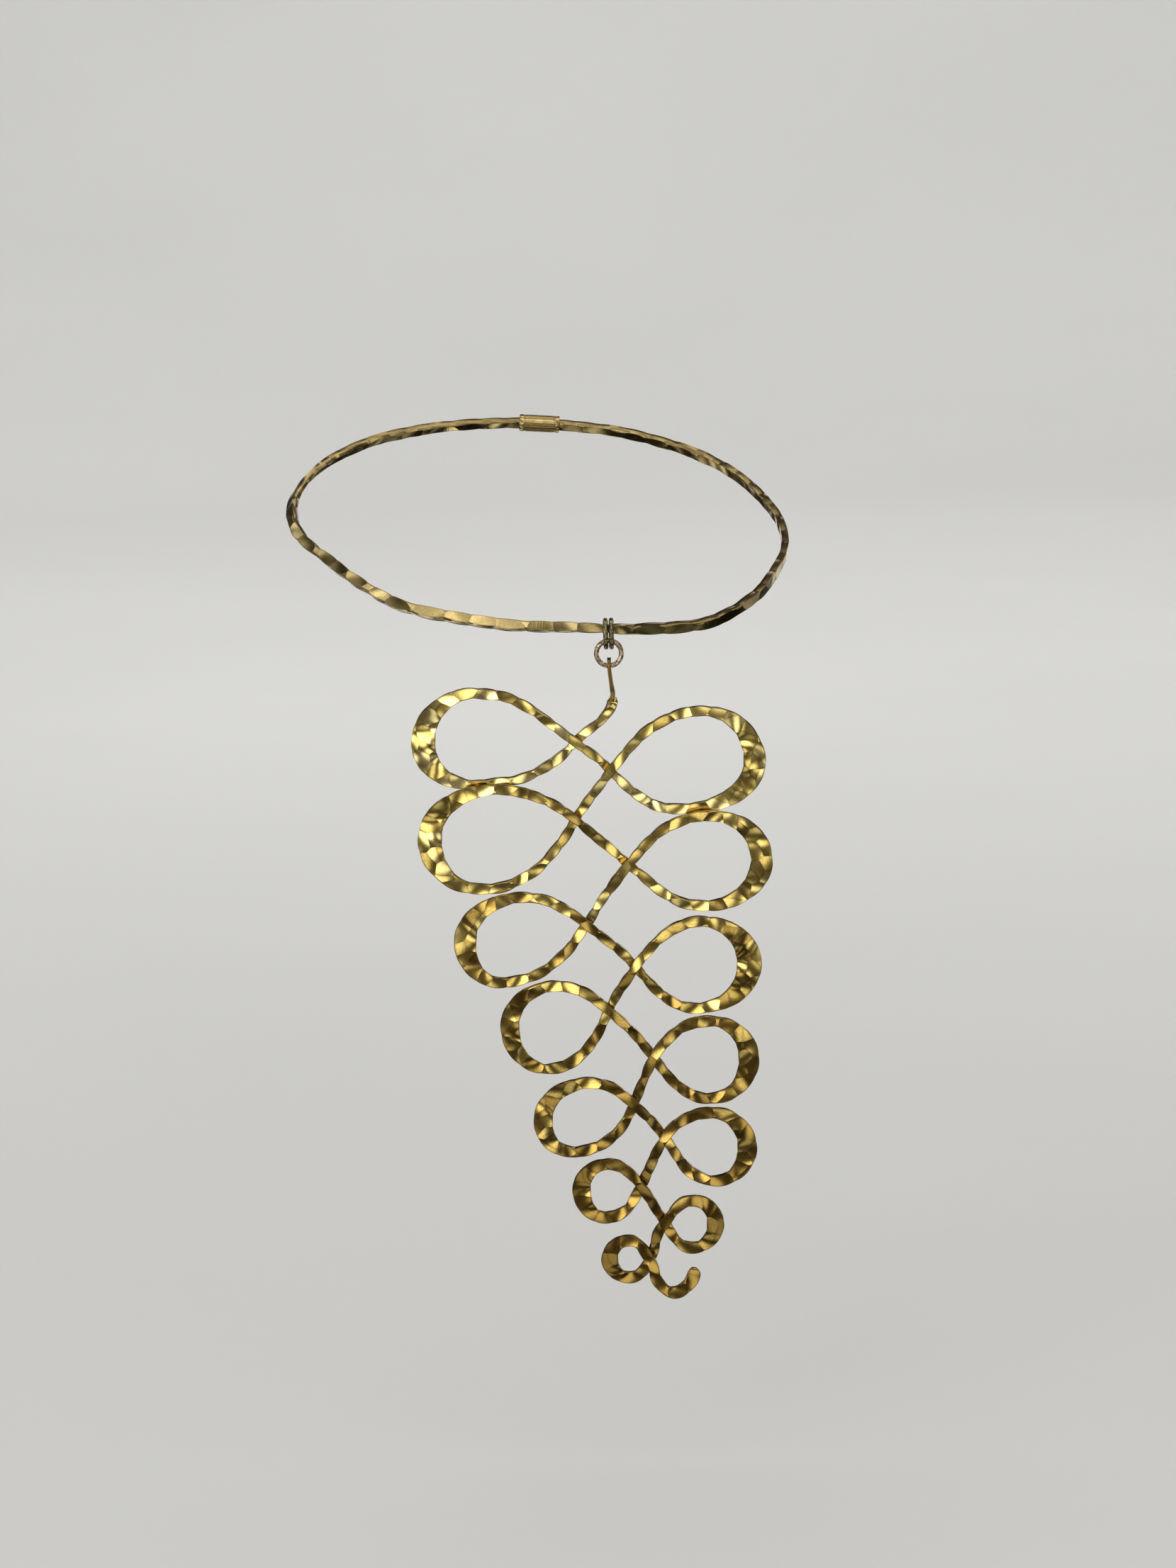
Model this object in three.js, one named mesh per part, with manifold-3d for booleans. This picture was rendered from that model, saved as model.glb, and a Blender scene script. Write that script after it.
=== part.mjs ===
// A hammered brass choker: a rigid neck ring closed at the nape by a sleeve, and a pendant scrolled
// from one length of wire, which hangs from the ring on a pair of bail rings and a jump ring.
// Millimetres, +Z up, the front of the choker facing -Y. The origin is the middle of the neck opening.

import * as THREE from "three";
import * as BufferGeometryUtils from "three/addons/utils/BufferGeometryUtils.js";
import Module from "manifold-3d";

// ---- Driving dimensions ----

// Gap kept between pieces that touch on the real choker.
const CLEARANCE = 0.3;

// The hammered wire's section: how much of its smaller side each cut corner takes.
const CORNER_CUT = 0.29;

// Longest step between two sections along a wire, and the fewest steps in one bend of the pendant.
const STEP_LENGTH = 3.3;
const FEWEST_STEPS = 4;

// Neck ring: it lies with its front below its back, and leans a little to its heavier side.
const NECK_TILT_DEG = 21;
const NECK_LEAN_DEG = 4.3;
const NECK_WIRE_SIZE = 2.6;
const NECK_STEP_LENGTH = 5;

// The neck ring's outline in its own plane, from the nape round by the left: a radius in each
// direction, in degrees from +X.
const NECK_OUTLINE = [
  { at: 90, radius: 64 },
  { at: 112, radius: 65 },
  { at: 134, radius: 68 },
  { at: 155, radius: 70 },
  { at: 175, radius: 70.5 },
  { at: 190, radius: 69 },
  { at: 205, radius: 64.8 },
  { at: 220, radius: 63.5 },
  { at: 235, radius: 63.5 },
  { at: 250, radius: 61 },
  { at: 265, radius: 60 },
  { at: 280, radius: 60.3 },
  { at: 295, radius: 65 },
  { at: 310, radius: 70.3 },
  { at: 325, radius: 70.5 },
  { at: 340, radius: 69.7 },
  { at: 357, radius: 70 },
  { at: 376, radius: 68.5 },
  { at: 400, radius: 67.5 },
  { at: 425, radius: 65.5 },
];

// Clasp: a plain sleeve over the ring's two ends at the nape.
const CLASP_LENGTH = 12;
const CLASP_BORE = 3.8;
const CLASP_DIAMETER = 5;
const CLASP_SIDES = 24;

// Bail rings and jump ring, all of round wire. The bail rings stand side by side across the neck wire.
const HANG_X = 18.6;
const SMALL_WIRE = 1.35;
const BAIL_OUTSIDE = 8.6;
const BAIL_GAP = 0.2;
const JUMP_OUTSIDE = 8.15;
const RING_SIDES = 8;
const RING_STEPS = 28;

// Pendant wire: hammering spreads it and keeps the area of its section.
const WIRE_AREA = 4.8;
const STRAND_WIDTH_AT_TOP = 2.5;
const STRAND_WIDTH_AT_FOOT = 2.9;
const SHOULDER_WIDENING = 0.4;

// Strands that arrive at a crossing pass behind, and strands that leave it pass in front.
const WEAVE = 1.12;

// How far each bend's control points reach, as a share of the straight distance: near a round arc.
const HANDLE = 0.39;

// The flat, drilled tab at the wire's top end, edge-on to the front.
const TAB_HOLE = 2.1;
const TAB_THICKNESS = 0.8;

// The tab and the quarter turn below it. A place is [x to the right of the hanging point, drop below
// it], and turn is how far the wire's flat side faces away from the front, in degrees.
const HANGER = [
  { place: [0, 8], turn: 90, width: 1.7, thickness: TAB_THICKNESS },
  { place: [0, 8.5], turn: 90, width: 3.2, thickness: TAB_THICKNESS },
  { place: [0, 10], turn: 90, width: 4.2, thickness: TAB_THICKNESS },
  { place: [0.4, 14.5], turn: 90, width: 3.6, thickness: 0.85 },
  { place: [0.8, 18.2], turn: 88, width: 2.8, thickness: 1.1 },
  { place: [0.5, 20.8], turn: 15, width: 2.6, thickness: 1.7 },
  { place: [-1.9, 24.4], turn: 0, width: 2.5, thickness: 1.9 },
];

// The pendant's loops, down the wire: the place that the wire crosses itself at, how steeply it runs
// down there as it arrives and as it leaves (degrees), the loop's lowest place, its outer end, its
// highest place, and the width of its hammered end.
const LOOPS = [
  { at: [-9.5, 31], dips: [47, 40], low: [-37, 42.3], end: [-51, 30.5], top: [-36.5, 16.8], width: 6.6 },
  { at: [-0.3, 39], dips: [50, 53], low: [18.2, 50.3], end: [39, 37], top: [25, 23], width: 6.1 },
  { at: [-10, 52.3], dips: [60, 40], low: [-36, 71.4], end: [-50, 57.6], top: [-32, 43.4], width: 6.6 },
  { at: [4, 65.2], dips: [43, 52], low: [25.4, 77.5], end: [40.6, 64.7], top: [26.4, 51.8], width: 6.2 },
  { at: [-7.5, 81.8], dips: [58, 41], low: [-31.5, 98], end: [-41.2, 86.7], top: [-25.6, 73.7], width: 6.1 },
  { at: [5.4, 94.2], dips: [50, 55], low: [22.5, 106.6], end: [36.8, 93.8], top: [23.5, 81.6], width: 6.8 },
  { at: [-2, 106.2], dips: [66, 45], low: [-19, 123], end: [-29.5, 110.8], top: [-17.4, 98.8], width: 5.3 },
  { at: [10, 120], dips: [54, 62], low: [25.6, 132.5], end: [36.4, 121], top: [25.4, 109.7], width: 5.7 },
  { at: [4.5, 133.2], dips: [66, 44], low: [-12.7, 147.2], end: [-21, 137.8], top: [-8.7, 126.6], width: 5.3 },
  { at: [12.5, 143.2], dips: [58, 59], low: [26.6, 156.3], end: [35.6, 146.5], top: [25, 136], width: 5.5 },
  { at: [6, 157], dips: [67, 55], low: [-3.6, 166.4], end: [-10.8, 158], top: [-4, 150.2], width: 5.1 },
  { at: [12, 167.8], dips: [59, 53], low: [20, 175.6], end: [26.4, 168.3], top: [20.2, 161.2], width: 4.8 },
  { at: [8, 178.5], dips: [67, 61], low: [2.2, 183.8], end: [-3.4, 178], top: [2, 172.4], width: 4.7 },
];

// The hooked tail below the last loop, ending in a rounded tip.
const TAIL = [
  { place: [10.4, 185], width: 3.2, thickness: 1.5 },
  { place: [14.4, 188], width: 3.6, thickness: 1.35 },
  { place: [18.4, 185.6], width: 3.9, thickness: 1.25 },
  { place: [20, 182.4], width: 3.8, thickness: 1.2 },
  { place: [20.2, 181.3], width: 3, thickness: 1.1 },
  { place: [20.3, 180.8], width: 1.6, thickness: 0.8 },
];

// ---- Wires ----

// The corners of a wire's section, a rectangle with its corners cut off.
function sectionCorners(width, thickness) {
  const w = width / 2;
  const t = thickness / 2;
  const cut = CORNER_CUT * Math.min(width, thickness);
  return [
    [w, t - cut],
    [w - cut, t],
    [cut - w, t],
    [-w, t - cut],
    [-w, cut - t],
    [cut - w, -t],
    [w - cut, -t],
    [w, cut - t],
  ];
}

// A closed solid through the stations of a wire. A station is a point, the wire's direction there,
// the direction its flat side faces, and its width and thickness.
function loftWire(stations) {
  const positions = [];
  const indices = [];
  const corners = 8;
  for (const { point, along, facing, width, thickness } of stations) {
    const across = new THREE.Vector3().crossVectors(facing, along).normalize();
    const normal = new THREE.Vector3().crossVectors(along, across).normalize();
    for (const [w, t] of sectionCorners(width, thickness)) {
      const corner = point.clone().addScaledVector(across, w).addScaledVector(normal, t);
      positions.push(corner.x, corner.y, corner.z);
    }
  }
  for (let station = 0; station + 1 < stations.length; station += 1) {
    for (let corner = 0; corner < corners; corner += 1) {
      const a = station * corners + corner;
      const b = station * corners + ((corner + 1) % corners);
      indices.push(a, b, a + corners, b, b + corners, a + corners);
    }
  }
  const last = (stations.length - 1) * corners;
  for (let corner = 1; corner + 1 < corners; corner += 1) {
    indices.push(0, corner + 1, corner);
    indices.push(last, last + corner, last + corner + 1);
  }
  const geometry = new THREE.BufferGeometry();
  geometry.setAttribute("position", new THREE.Float32BufferAttribute(positions, 3));
  geometry.setIndex(indices);
  return geometry;
}

// ---- Neck ring ----

// The neck ring's outline as a closed curve, from the nape round to the nape again.
function neckCurve() {
  const points = NECK_OUTLINE.map(({ at, radius }) => {
    const angle = THREE.MathUtils.degToRad(at);
    return new THREE.Vector3(radius * Math.cos(angle), radius * Math.sin(angle), 0);
  });
  return new THREE.CatmullRomCurve3(points, true, "centripetal");
}

// The wire stops just short of the nape at both ends, inside the clasp.
function neckWireGeometry(curve) {
  const length = curve.getLength();
  const steps = Math.round(length / NECK_STEP_LENGTH);
  const endShare = CLEARANCE / length;
  const stations = [];
  for (let step = 0; step <= steps; step += 1) {
    const share = endShare + ((1 - 2 * endShare) * step) / steps;
    stations.push({
      point: curve.getPointAt(share),
      along: curve.getTangentAt(share),
      facing: new THREE.Vector3(0, 0, 1),
      width: NECK_WIRE_SIZE,
      thickness: NECK_WIRE_SIZE,
    });
  }
  return loftWire(stations);
}

// A plain tube, turned about its own axis.
function claspGeometry() {
  const bore = CLASP_BORE / 2;
  const outside = CLASP_DIAMETER / 2;
  const half = CLASP_LENGTH / 2;
  const profile = [
    new THREE.Vector2(bore, -half),
    new THREE.Vector2(outside, -half),
    new THREE.Vector2(outside, half),
    new THREE.Vector2(bore, half),
    new THREE.Vector2(bore, -half),
  ];
  return new THREE.LatheGeometry(profile, CLASP_SIDES);
}

// ---- Small rings ----

function ringGeometry(outside) {
  const radius = (outside - SMALL_WIRE) / 2;
  return new THREE.TorusGeometry(radius, SMALL_WIRE / 2, RING_SIDES, RING_STEPS);
}

// ---- Pendant ----

// The points that the pendant's wire runs through, from its tab to its tip. The heading is the
// wire's direction in the plane of the pendant, as [to the right, downwards]. A point that has none
// takes its direction from its neighbours.
function pendantKnots() {
  const knots = HANGER.map((row) => ({ ...row, y: 0 }));
  LOOPS.forEach((loop, index) => {
    const outward = Math.sign(loop.end[0] - loop.at[0]);
    const [arriving, leaving] = loop.dips.map(THREE.MathUtils.degToRad);
    const arrival = [outward * Math.cos(arriving), Math.sin(arriving)];
    const departure = [-outward * Math.cos(leaving), Math.sin(leaving)];
    const share = index / (LOOPS.length - 1);
    const strand = THREE.MathUtils.lerp(STRAND_WIDTH_AT_TOP, STRAND_WIDTH_AT_FOOT, share);
    const shoulder = strand + SHOULDER_WIDENING;
    knots.push({ place: loop.at, y: WEAVE, width: strand, heading: arrival });
    knots.push({ place: loop.low, y: WEAVE, width: shoulder, heading: [outward, 0] });
    knots.push({ place: loop.end, y: 0, width: loop.width, heading: [0, -1] });
    knots.push({ place: loop.top, y: -WEAVE, width: shoulder, heading: [-outward, 0] });
    knots.push({ place: loop.at, y: -WEAVE, width: strand, heading: departure });
  });
  for (const row of TAIL) {
    knots.push({ ...row, y: -WEAVE });
  }
  return knots.map((knot) => ({
    turn: 0,
    thickness: WIRE_AREA / knot.width,
    ...knot,
    point: new THREE.Vector3(knot.place[0], knot.y, -knot.place[1]),
  }));
}

// The wire's direction at a knot. Without a heading it leans towards the nearer neighbour.
function knotDirection(knots, index) {
  const here = knots[index];
  const before = knots[Math.max(index - 1, 0)].point;
  const after = knots[Math.min(index + 1, knots.length - 1)].point;
  const arriving = here.point.clone().sub(before);
  const leaving = after.clone().sub(here.point);
  const direction = new THREE.Vector3();
  if (here.heading) {
    direction.set(here.heading[0], 0, -here.heading[1]);
  } else {
    for (const side of [arriving, leaving]) {
      direction.addScaledVector(side, 1 / Math.max(side.lengthSq(), CLEARANCE));
    }
    direction.setY(0).normalize();
  }
  direction.y = (after.y - before.y) / (arriving.length() + leaving.length());
  return direction.normalize();
}

// Stations along the whole pendant wire, bend by bend.
function pendantStations() {
  const knots = pendantKnots();
  const front = new THREE.Vector3(0, -1, 0);
  const stations = [];
  for (let index = 0; index + 1 < knots.length; index += 1) {
    const from = knots[index];
    const to = knots[index + 1];
    const reach = HANDLE * from.point.distanceTo(to.point);
    const bend = new THREE.CubicBezierCurve3(
      from.point,
      from.point.clone().addScaledVector(knotDirection(knots, index), reach),
      to.point.clone().addScaledVector(knotDirection(knots, index + 1), -reach),
      to.point,
    );
    const inLoops = index >= HANGER.length && index < knots.length - TAIL.length;
    const fewest = inLoops ? FEWEST_STEPS : FEWEST_STEPS / 2;
    const steps = Math.max(fewest, Math.round(bend.getLength() / STEP_LENGTH));
    for (let step = index === 0 ? 0 : 1; step <= steps; step += 1) {
      const share = step / steps;
      const ease = THREE.MathUtils.smoothstep(share, 0, 1);
      const along = bend.getTangentAt(share);
      const turn = THREE.MathUtils.degToRad(THREE.MathUtils.lerp(from.turn, to.turn, ease));
      const level = new THREE.Vector3().crossVectors(front, along).normalize();
      const upright = new THREE.Vector3().crossVectors(along, level);
      stations.push({
        point: bend.getPointAt(share),
        along,
        facing: upright.multiplyScalar(Math.cos(turn)).addScaledVector(level, Math.sin(turn)),
        width: THREE.MathUtils.lerp(from.width, to.width, ease),
        thickness: THREE.MathUtils.lerp(from.thickness, to.thickness, ease),
      });
    }
  }
  return stations;
}

// The lofted wire with the jump ring's hole drilled sideways through its tab.
function pendantGeometry(wasm, holeDrop) {
  const drill = new THREE.CylinderGeometry(TAB_HOLE / 2, TAB_HOLE / 2, 4 * TAB_THICKNESS, 20);
  drill.rotateZ(Math.PI / 2);
  drill.translate(0, 0, -holeDrop);
  const wire = toManifold(wasm, loftWire(pendantStations()));
  return fromManifold(wire.subtract(toManifold(wasm, drill)));
}

// ---- Booleans ----

function toManifold(wasm, geometry) {
  const bare = geometry.clone();
  bare.deleteAttribute("normal");
  bare.deleteAttribute("uv");
  const merged = BufferGeometryUtils.mergeVertices(bare, 1e-5);
  const vertProperties = new Float32Array(merged.attributes.position.array);
  const triVerts = new Uint32Array(merged.index.array);
  return new wasm.Manifold(new wasm.Mesh({ numProp: 3, vertProperties, triVerts }));
}

function fromManifold(solid) {
  const mesh = solid.getMesh();
  const geometry = new THREE.BufferGeometry();
  geometry.setAttribute("position", new THREE.BufferAttribute(mesh.vertProperties, 3));
  geometry.setIndex(new THREE.BufferAttribute(mesh.triVerts, 1));
  return geometry;
}

// ---- Assembly ----

function brass(color, roughness) {
  return new THREE.MeshStandardMaterial({ color, metalness: 1, roughness });
}

function namedMesh(name, geometry, material) {
  const mesh = new THREE.Mesh(geometry, material);
  mesh.name = name;
  return mesh;
}

// The point of the neck curve whose x is nearest the hanging point's, on the front half.
function hangingPoint(curve) {
  const samples = curve.getSpacedPoints(4000).filter((point) => point.y < 0);
  samples.sort((a, b) => Math.abs(a.x - HANG_X) - Math.abs(b.x - HANG_X));
  return samples[0];
}

const wasm = await Module();
wasm.setup();

const choker = new THREE.Group();
const curve = neckCurve();

// The neck ring and its clasp, in the ring's own tilted plane.
const neck = new THREE.Group();
neck.rotation.set(
  THREE.MathUtils.degToRad(NECK_TILT_DEG),
  THREE.MathUtils.degToRad(NECK_LEAN_DEG),
  0,
);
neck.add(namedMesh("neck_wire", neckWireGeometry(curve), brass(0xc9a545, 0.3)));
const clasp = namedMesh("clasp", claspGeometry(), brass(0xb8964a, 0.35));
clasp.position.copy(curve.getPointAt(0));
clasp.quaternion.setFromUnitVectors(new THREE.Vector3(0, 1, 0), curve.getTangentAt(0));
neck.add(clasp);
choker.add(neck);

// Everything that hangs is placed from the middle of the neck wire at the bail.
neck.updateMatrixWorld(true);
const hanging = new THREE.Group();
hanging.position.copy(neck.localToWorld(hangingPoint(curve)));
choker.add(hanging);

// The bail rings sit on the neck wire, and the jump ring in the bail rings.
const bailCentre = NECK_WIRE_SIZE / 2 + CLEARANCE + SMALL_WIRE - BAIL_OUTSIDE / 2;
const bailFloor = bailCentre - BAIL_OUTSIDE / 2 + SMALL_WIRE;
const jumpCentre = bailFloor + CLEARANCE + SMALL_WIRE - JUMP_OUTSIDE / 2;
const bailOffset = (SMALL_WIRE + BAIL_GAP) / 2;
for (const [name, x] of [["bail_ring_left", -bailOffset], ["bail_ring_right", bailOffset]]) {
  const bailRing = namedMesh(name, ringGeometry(BAIL_OUTSIDE), brass(0x8a7a4a, 0.35));
  bailRing.rotation.y = Math.PI / 2;
  bailRing.position.set(x, 0, bailCentre);
  hanging.add(bailRing);
}
const jumpRing = namedMesh("jump_ring", ringGeometry(JUMP_OUTSIDE), brass(0xa8965e, 0.3));
jumpRing.rotation.x = Math.PI / 2;
jumpRing.position.z = jumpCentre;
hanging.add(jumpRing);

// The pendant's hole is centred on the jump ring's wire at its lowest point.
const holeDrop = -jumpCentre + (JUMP_OUTSIDE - SMALL_WIRE) / 2;
hanging.add(namedMesh("pendant", pendantGeometry(wasm, holeDrop), brass(0xc9a545, 0.28)));

export default choker;
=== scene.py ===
import math

import bpy
import numpy as np
from mathutils import Matrix, Vector


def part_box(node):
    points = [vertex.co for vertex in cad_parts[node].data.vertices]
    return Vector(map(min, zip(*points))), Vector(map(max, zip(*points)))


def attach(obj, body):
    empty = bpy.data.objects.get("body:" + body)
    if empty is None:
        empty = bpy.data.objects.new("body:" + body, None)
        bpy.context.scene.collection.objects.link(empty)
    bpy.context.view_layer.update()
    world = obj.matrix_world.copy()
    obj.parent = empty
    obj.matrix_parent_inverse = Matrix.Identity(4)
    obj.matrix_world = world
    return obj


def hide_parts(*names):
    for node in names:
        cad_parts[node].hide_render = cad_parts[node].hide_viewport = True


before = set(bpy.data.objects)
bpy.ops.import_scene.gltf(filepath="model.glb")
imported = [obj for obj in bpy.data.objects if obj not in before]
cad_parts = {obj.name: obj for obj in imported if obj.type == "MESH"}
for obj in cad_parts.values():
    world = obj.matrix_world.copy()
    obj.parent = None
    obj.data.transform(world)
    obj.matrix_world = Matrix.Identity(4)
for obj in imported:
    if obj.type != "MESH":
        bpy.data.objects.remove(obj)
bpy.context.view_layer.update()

# The looks of a hammered brass choker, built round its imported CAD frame.
# The tables and sizes are the part's own, in millimetres, and the meshes are made in metres.

MM = 0.001

# ---- The part's dimensions ----

NECK_TILT_DEG = 21
NECK_LEAN_DEG = 4.3
NECK_END_GAP = 0.3

# The neck ring's outline in its own plane: direction from +X in degrees, radius.
NECK_OUTLINE = [
    (90, 64), (112, 65), (134, 68), (155, 70), (175, 70.5), (190, 69), (205, 64.8),
    (220, 63.5), (235, 63.5), (250, 61), (265, 60), (280, 60.3), (295, 65), (310, 70.3),
    (325, 70.5), (340, 69.7), (357, 70), (376, 68.5), (400, 67.5), (425, 65.5),
]

# How the hammered neck wire lies, by direction round the ring: direction in degrees, how far the
# struck face turns up from facing straight outwards, width across that face, thickness.
NECK_HAMMERING = [
    (90, 15, 2.6, 2.3),
    (135, 25, 2.8, 2.2),
    (180, 38, 3.0, 2.1),
    (212, 52, 2.9, 2.2),
    (250, 55, 2.8, 2.3),
    (276, 45, 2.6, 2.3),
    (286, 30, 2.5, 2.3),
    (293, 4, 2.6, 2.3),
    (305, 0, 2.9, 2.15),
    (340, 4, 3.0, 2.1),
    (375, 12, 3.0, 2.1),
    (410, 15, 2.8, 2.2),
    (450, 15, 2.6, 2.3),
]

SMALL_WIRE = 1.35
BAIL_OUTSIDE = 8.6
JUMP_OUTSIDE = 8.15
JUMP_DROP = 6.725

CLASP_LENGTH = 12
CLASP_BORE = 3.8
CLASP_DIAMETER = 5

WIRE_AREA = 4.8
STRAND_WIDTH_AT_TOP = 2.5
STRAND_WIDTH_AT_FOOT = 2.9
SHOULDER_WIDENING = 0.4
WEAVE = 1.12
HANDLE = 0.39
HOLE_DROP = 10.125
HOLE_DIAMETER = 2.1

# The pendant's tab and quarter turn: right, drop, turn from the front in degrees, width, thickness.
HANGER = [
    (0, 8, 90, 1.7, 0.8),
    (0, 8.5, 90, 3.2, 0.8),
    (0, 10, 90, 4.2, 0.8),
    (0.4, 14.5, 90, 3.6, 0.85),
    (0.8, 18.2, 88, 2.8, 1.1),
    (0.5, 20.8, 15, 2.6, 1.7),
    (-1.9, 24.4, 0, 2.5, 1.9),
]

# The loops: crossing, how steeply the wire arrives and leaves, lowest place, outer end, highest
# place, and the width of the hammered end.
LOOPS = [
    ((-9.5, 31), (47, 40), (-37, 42.3), (-51, 30.5), (-36.5, 16.8), 6.6),
    ((-0.3, 39), (50, 53), (18.2, 50.3), (39, 37), (25, 23), 6.1),
    ((-10, 52.3), (60, 40), (-36, 71.4), (-50, 57.6), (-32, 43.4), 6.6),
    ((4, 65.2), (43, 52), (25.4, 77.5), (40.6, 64.7), (26.4, 51.8), 6.2),
    ((-7.5, 81.8), (58, 41), (-31.5, 98), (-41.2, 86.7), (-25.6, 73.7), 6.1),
    ((5.4, 94.2), (50, 55), (22.5, 106.6), (36.8, 93.8), (23.5, 81.6), 6.8),
    ((-2, 106.2), (66, 45), (-19, 123), (-29.5, 110.8), (-17.4, 98.8), 5.3),
    ((10, 120), (54, 62), (25.6, 132.5), (36.4, 121), (25.4, 109.7), 5.7),
    ((4.5, 133.2), (66, 44), (-12.7, 147.2), (-21, 137.8), (-8.7, 126.6), 5.3),
    ((12.5, 143.2), (58, 59), (26.6, 156.3), (35.6, 146.5), (25, 136), 5.5),
    ((6, 157), (67, 55), (-3.6, 166.4), (-10.8, 158), (-4, 150.2), 5.1),
    ((12, 167.8), (59, 53), (20, 175.6), (26.4, 168.3), (20.2, 161.2), 4.8),
    ((8, 178.5), (67, 61), (2.2, 183.8), (-3.4, 178), (2, 172.4), 4.7),
]

# The hooked tail: right, drop, width, thickness.
TAIL = [
    (10.4, 185, 3.2, 1.5),
    (14.4, 188, 3.6, 1.35),
    (18.4, 185.6, 3.9, 1.25),
    (20, 182.4, 3.8, 1.2),
    (20.2, 181.3, 3, 1.1),
    (20.3, 180.8, 1.6, 0.8),
]

# ---- Wires as paths ----

BEZIER_SAMPLES = 240
PATH_STEP = 0.25
LEAST_SAMPLES = 6
LEAST_SPAN_SQUARED = 0.3
OUTLINE_SAMPLES = 60
NECK_SAMPLES = 1400


def unit(vectors):
    return vectors / np.linalg.norm(vectors, axis=-1, keepdims=True)


def new_piece(name, points, faces):
    """An object in the scene from points in metres and lists of their numbers."""
    mesh = bpy.data.meshes.new(name)
    mesh.from_pydata(points, [], faces)
    mesh.update()
    piece = bpy.data.objects.new(name, mesh)
    bpy.context.scene.collection.objects.link(piece)
    return piece


# The first column and the end of each value in a path's table.
MIDDLE, ACROSS, NORMAL, WIDTH, THICKNESS = (0, 3), (3, 6), (6, 9), (9, 10), (10, 11)


class Path:
    """A wire's middle line and the frame of its section, to be read at any length along it."""

    def __init__(self, points, along, facing, width, thickness):
        steps = np.linalg.norm(np.diff(points, axis=0), axis=1)
        self.at = np.concatenate([[0], np.cumsum(steps)])
        self.length = self.at[-1]
        across = unit(np.cross(facing, along))
        normal = unit(np.cross(along, across))
        self.table = np.column_stack([points, across, normal, width, thickness])

    def read(self, where, first, last):
        columns = [np.interp(where, self.at, self.table[:, i]) for i in range(first, last)]
        return np.stack(columns, axis=-1)

    def points(self, where, u, z):
        """Places u across the wire and z out of its struck face."""
        beyond = where - np.clip(where, 0, self.length)
        middle = self.read(where, *MIDDLE)
        across = unit(self.read(where, *ACROSS))
        normal = unit(self.read(where, *NORMAL))
        along = np.cross(across, normal)
        return middle + across * u[..., None] + normal * z[..., None] + along * beyond[..., None]

    def width(self, where):
        return self.read(where, *WIDTH)[..., 0]

    def thickness(self, where):
        return self.read(where, *THICKNESS)[..., 0]


def bezier(a, b, c, d, samples):
    """Evenly spaced points on a cubic bend, and the direction at each."""
    t = np.linspace(0, 1, BEZIER_SAMPLES)[:, None]
    points = a * (1 - t) ** 3 + 3 * b * t * (1 - t) ** 2 + 3 * c * t**2 * (1 - t) + d * t**3
    heading = (b - a) * (1 - t) ** 2 + 2 * (c - b) * t * (1 - t) + (d - c) * t**2
    at = np.concatenate([[0], np.cumsum(np.linalg.norm(np.diff(points, axis=0), axis=1))])
    even = np.linspace(0, at[-1], samples)
    spaced = [np.interp(even, at, points[:, i]) for i in range(3)]
    headings = [np.interp(even, at, heading[:, i]) for i in range(3)]
    return np.stack(spaced, axis=1), unit(np.stack(headings, axis=1))


def pendant_knots():
    """Rows of right, y, drop, turn, width, thickness, with the wire's heading or None."""
    knots = [((x, 0, drop, turn, width, thick), None) for x, drop, turn, width, thick in HANGER]
    for index, (cross, slopes, low, end, top, width) in enumerate(LOOPS):
        outward = math.copysign(1, end[0] - cross[0])
        arriving, leaving = (math.radians(slope) for slope in slopes)
        share = index / (len(LOOPS) - 1)
        strand = STRAND_WIDTH_AT_TOP + share * (STRAND_WIDTH_AT_FOOT - STRAND_WIDTH_AT_TOP)
        shoulder = strand + SHOULDER_WIDENING
        bends = [
            (cross, WEAVE, strand, (outward * math.cos(arriving), math.sin(arriving))),
            (low, WEAVE, shoulder, (outward, 0)),
            (end, 0, width, (0, -1)),
            (top, -WEAVE, shoulder, (-outward, 0)),
            (cross, -WEAVE, strand, (-outward * math.cos(leaving), math.sin(leaving))),
        ]
        for (x, drop), y, wide, heading in bends:
            knots.append(((x, y, drop, 0, wide, WIRE_AREA / wide), heading))
    knots += [((x, -WEAVE, drop, 0, width, thick), None) for x, drop, width, thick in TAIL]
    return knots


def knot_direction(points, headings, index):
    before = points[max(index - 1, 0)]
    after = points[min(index + 1, len(points) - 1)]
    arriving, leaving = points[index] - before, after - points[index]
    if headings[index]:
        direction = np.array([headings[index][0], 0, -headings[index][1]], float)
    else:
        sides = [side / max(side @ side, LEAST_SPAN_SQUARED) for side in (arriving, leaving)]
        direction = (sides[0] + sides[1]) * [1, 0, 1]
        direction = direction / np.linalg.norm(direction)
    spans = np.linalg.norm(arriving) + np.linalg.norm(leaving)
    direction[1] = (after[1] - before[1]) / spans
    return direction / np.linalg.norm(direction)


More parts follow.
